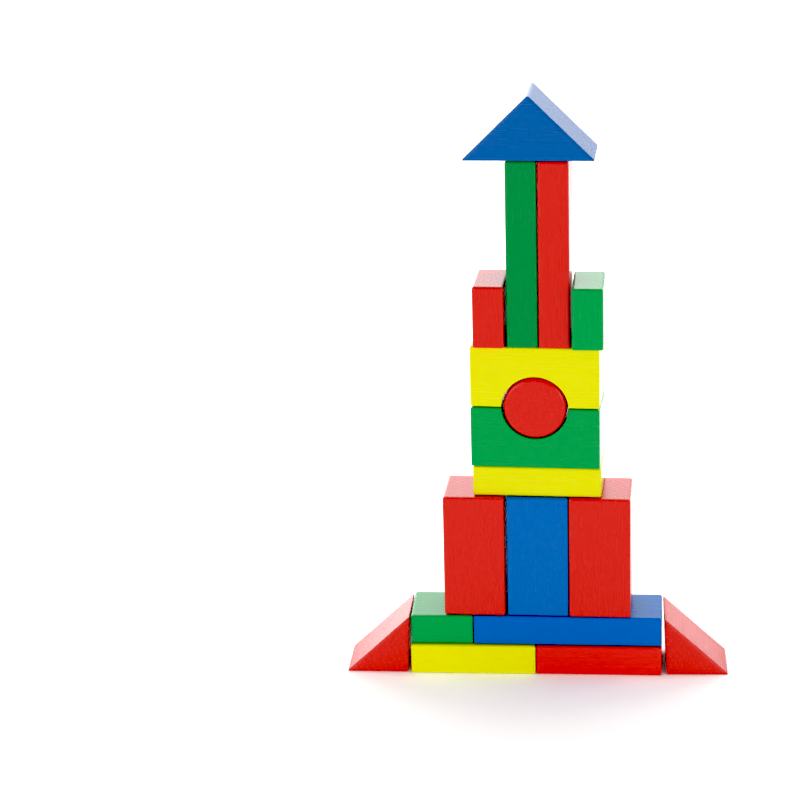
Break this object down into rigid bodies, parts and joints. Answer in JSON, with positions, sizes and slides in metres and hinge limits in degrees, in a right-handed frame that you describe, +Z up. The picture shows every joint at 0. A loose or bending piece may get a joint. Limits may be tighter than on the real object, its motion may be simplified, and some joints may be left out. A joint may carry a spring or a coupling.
{
  "type": "toy block tower",
  "caption": "Rocket-shaped tower of painted wooden toy blocks stacked loose, with an arched round window, ramps and a pitched roof; every block lifts off or draws out.",
  "frame": {"origin": "on the floor, under the middle of the tower's bounding box", "axes": "+Z up, the front of the tower faces -Y, +X to the right seen from the front"},
  "size_m": [0.1839, 0.0374, 0.2841],
  "materials": {
    "red_paint": "satin paint on hardwood, sanded edges",
    "yellow_paint": "satin paint on hardwood, sanded edges",
    "green_paint": "satin paint on hardwood, sanded edges",
    "blue_paint": "satin paint on hardwood, sanded edges"
  },
  "bodies": {
    "left_ramp": {"left_ramp": "red_paint"},
    "yellow_base_block": {"yellow_base_block": "yellow_paint"},
    "red_base_block": {"red_base_block": "red_paint"},
    "right_ramp": {"right_ramp": "red_paint"},
    "green_short_block": {"green_short_block": "green_paint"},
    "blue_plank": {"blue_plank": "blue_paint"},
    "left_red_upright": {"left_red_upright": "red_paint"},
    "blue_upright": {"blue_upright": "blue_paint"},
    "right_red_upright": {"right_red_upright": "red_paint"},
    "yellow_plank": {"yellow_plank": "yellow_paint"},
    "green_arch": {"green_arch": "green_paint"},
    "yellow_arch": {"yellow_arch": "yellow_paint"},
    "red_cylinder": {"red_cylinder": "red_paint"},
    "left_red_side_block": {"left_red_side_block": "red_paint"},
    "green_pillar": {"green_pillar": "green_paint"},
    "red_pillar": {"red_pillar": "red_paint"},
    "right_green_side_block": {"right_green_side_block": "green_paint"},
    "blue_roof": {"blue_roof": "blue_paint"}
  },
  "joints": [
    {"name": "left_ramp_pull_away", "type": "slide", "parent": "yellow_base_block", "child": "left_ramp", "axis": [-1, 0, 0], "range_m": [0, 0.035]},
    {"name": "right_ramp_pull_away", "type": "slide", "parent": "red_base_block", "child": "right_ramp", "axis": [1, 0, 0], "range_m": [0, 0.035]},
    {"name": "yellow_base_block_draw", "type": "slide", "parent": "red_base_block", "child": "yellow_base_block", "axis": [-0.0157, 0.9999, 0], "range_m": [-0.04, 0.04]},
    {"name": "green_short_block_draw", "type": "slide", "parent": "yellow_base_block", "child": "green_short_block", "axis": [-0.0262, 0.9997, 0], "range_m": [-0.04, 0.04]},
    {"name": "blue_plank_draw", "type": "slide", "parent": "red_base_block", "child": "blue_plank", "axis": [-0.0105, 0.9999, 0], "range_m": [-0.04, 0.04]},
    {"name": "left_red_upright_draw", "type": "slide", "parent": "blue_plank", "child": "left_red_upright", "axis": [0.014, 0.9999, 0], "range_m": [-0.04, 0.04]},
    {"name": "blue_upright_draw", "type": "slide", "parent": "blue_plank", "child": "blue_upright", "axis": [0.0017, 1, 0], "range_m": [-0.04, 0.04]},
    {"name": "right_red_upright_draw", "type": "slide", "parent": "blue_plank", "child": "right_red_upright", "axis": [0.0017, 1, 0], "range_m": [-0.04, 0.04]},
    {"name": "yellow_plank_lift", "type": "slide", "parent": "blue_upright", "child": "yellow_plank", "axis": [0, 0, 1], "range_m": [0, 0.04]},
    {"name": "green_arch_lift", "type": "slide", "parent": "yellow_plank", "child": "green_arch", "axis": [0, 0, 1], "range_m": [0, 0.04]},
    {"name": "yellow_arch_lift", "type": "slide", "parent": "green_arch", "child": "yellow_arch", "axis": [0, 0, 1], "range_m": [0, 0.04]},
    {"name": "red_cylinder_draw", "type": "slide", "parent": "green_arch", "child": "red_cylinder", "axis": [0.0436, 0.999, 0], "range_m": [-0.04, 0.04]},
    {"name": "left_red_side_block_lift", "type": "slide", "parent": "yellow_arch", "child": "left_red_side_block", "axis": [0, 0, 1], "range_m": [0, 0.04]},
    {"name": "right_green_side_block_lift", "type": "slide", "parent": "yellow_arch", "child": "right_green_side_block", "axis": [0, 0, 1], "range_m": [0, 0.04]},
    {"name": "green_pillar_draw", "type": "slide", "parent": "yellow_arch", "child": "green_pillar", "axis": [0.0017, 1, 0], "range_m": [-0.04, 0.04]},
    {"name": "red_pillar_draw", "type": "slide", "parent": "yellow_arch", "child": "red_pillar", "axis": [0.007, 1, 0], "range_m": [-0.04, 0.04]},
    {"name": "blue_roof_lift", "type": "slide", "parent": "green_pillar", "child": "blue_roof", "axis": [0, 0, 1], "range_m": [0, 0.04]}
  ]
}
